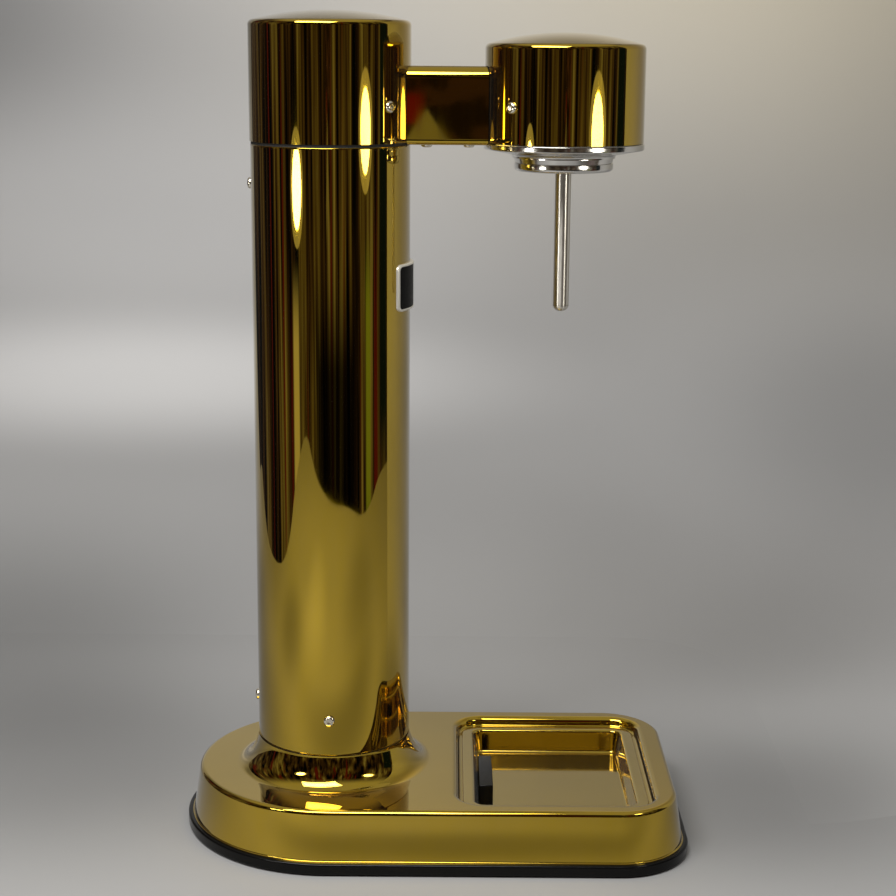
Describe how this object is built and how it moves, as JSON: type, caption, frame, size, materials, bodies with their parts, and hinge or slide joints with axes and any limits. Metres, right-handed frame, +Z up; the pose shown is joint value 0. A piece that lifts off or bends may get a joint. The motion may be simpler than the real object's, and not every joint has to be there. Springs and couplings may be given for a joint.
{
  "type": "sparkling water maker",
  "caption": "Lever-worked sparkling water maker: gold column on a low base with a drip tray, an arm and a domed head with a bottle collar and a long gas nozzle.",
  "frame": {"origin": "middle of the base's outline, on the table under the rubber feet", "axes": "+Z up, +X from the column towards the head, +Y towards the lever's side"},
  "size_m": [0.258, 0.153, 0.414],
  "materials": {
    "polished_gold": "mirror-polished gold",
    "polished_steel": "mirror-polished steel",
    "plain_steel": "plain steel",
    "black_plastic": "glossy black",
    "cast_alloy": "as cast",
    "valve_brass": "turned brass",
    "rubber": "matte black"
  },
  "bodies": {
    "machine": {"base_shell": "polished_gold", "base_plate": "black_plastic", "foot_back_near": "rubber", "foot_back_far": "rubber", "foot_front_near": "rubber", "foot_front_far": "rubber", "column_foot": "cast_alloy", "column_tube": "polished_gold", "top_frame": "cast_alloy", "column_cap": "polished_gold", "arm_shell": "polished_gold", "arm_beam": "cast_alloy", "head_shell": "polished_gold", "head_frame": "cast_alloy", "head_plate": "polished_steel", "bottle_collar": "polished_steel", "bottle_seal": "rubber", "nozzle_holder": "polished_steel", "nozzle_tube": "polished_steel", "nozzle_tip": "polished_steel", "gas_manifold": "valve_brass", "relief_body": "valve_brass", "relief_spring": "plain_steel", "relief_cap": "valve_brass", "gas_pipe": "valve_brass", "pipe_nut_valve": "valve_brass", "pipe_nut_head": "valve_brass", "valve_body": "valve_brass", "gas_seal": "rubber", "pin_seal": "rubber", "gland_nut": "plain_steel", "pin_spring": "plain_steel", "shaft_bracket": "cast_alloy", "bush_near": "valve_brass", "bush_far": "valve_brass", "cap_bush": "polished_steel", "badge_rim": "polished_steel", "badge_field": "black_plastic", "column_screws": "plain_steel", "cap_screws": "plain_steel", "head_screws": "plain_steel", "arm_screws": "plain_steel", "base_screws": "plain_steel", "foot_screws": "plain_steel", "beam_screws": "plain_steel", "valve_screws": "plain_steel", "plate_screws": "plain_steel"},
    "lever": {"lever_arm": "polished_gold", "lever_grip": "polished_steel", "lever_screw": "plain_steel", "lever_shaft": "plain_steel", "shaft_clip": "plain_steel", "cam": "plain_steel", "cam_screw": "plain_steel"},
    "push_pin": {"push_pin": "plain_steel"},
    "relief_poppet": {"relief_poppet": "valve_brass"},
    "drip_tray": {"drip_tray": "polished_gold", "tray_block": "black_plastic"}
  },
  "joints": [
    {"name": "lever_pull", "type": "hinge", "parent": "machine", "child": "lever", "pos_m": [-0.06136, 0, 0.38824], "axis": [0, 1, 0], "range_deg": [0, 20], "stiffness_Nm_per_rad": 0.5, "springref_deg": -20.05},
    {"name": "pin_push", "type": "slide", "parent": "machine", "child": "push_pin", "axis": [0, 0, -1], "range_m": [0, 0.00313], "deforming": ["pin_spring"]},
    {"name": "relief_lift", "type": "slide", "parent": "machine", "child": "relief_poppet", "axis": [0, 0, 1], "range_m": [0, 0.0012], "stiffness_N_per_m": 1500, "springref_m": -0.002, "deforming": ["relief_spring"]},
    {"name": "tray_lift", "type": "slide", "parent": "machine", "child": "drip_tray", "axis": [0, 0, 1], "range_m": [0, 0.04]}
  ],
  "couplings": [
    {"joint": "pin_push", "follows": "lever_pull", "m_per_rad": 0.0089544}
  ]
}
